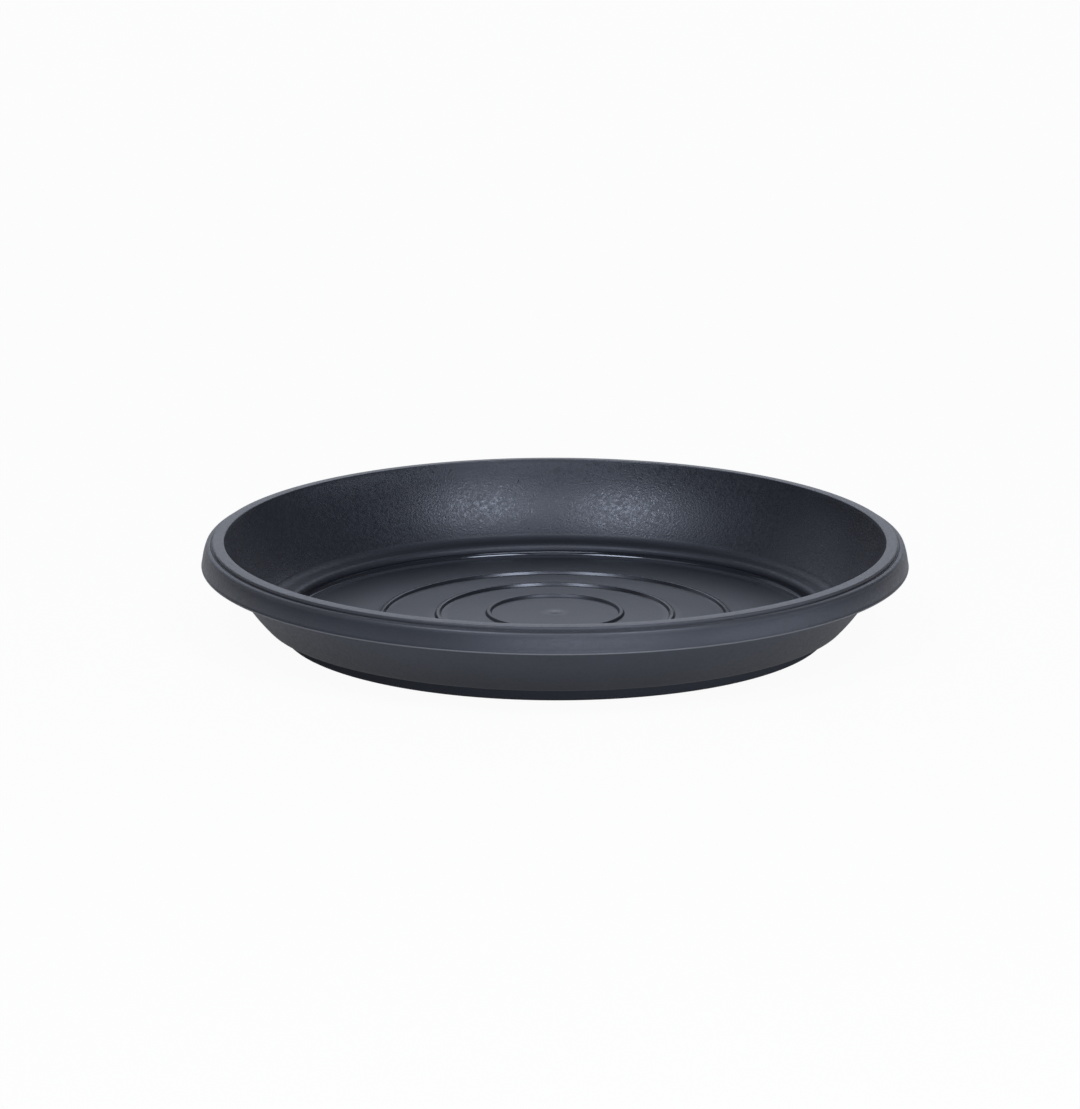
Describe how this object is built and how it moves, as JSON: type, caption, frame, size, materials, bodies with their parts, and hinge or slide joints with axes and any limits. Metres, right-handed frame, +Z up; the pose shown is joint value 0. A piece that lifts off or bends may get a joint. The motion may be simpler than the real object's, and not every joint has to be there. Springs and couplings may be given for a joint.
{
  "type": "plant saucer",
  "caption": "Round shallow plastic saucer with a stepped rim and hanging skirt, for catching water under a plant pot",
  "frame": {"origin": "on the axis of the saucer, at the surface it stands on", "axes": "+Z up along the axis of the saucer; X and Y are free, since the saucer is turned about Z"},
  "size_m": [0.2998, 0.2998, 0.0397],
  "materials": {
    "anthracite_plastic": "dark blue-grey moulded polypropylene, satin, with a fine spark-eroded grain on the wall and ledge"
  },
  "bodies": {
    "root": {"saucer": "anthracite_plastic"}
  },
  "joints": []
}
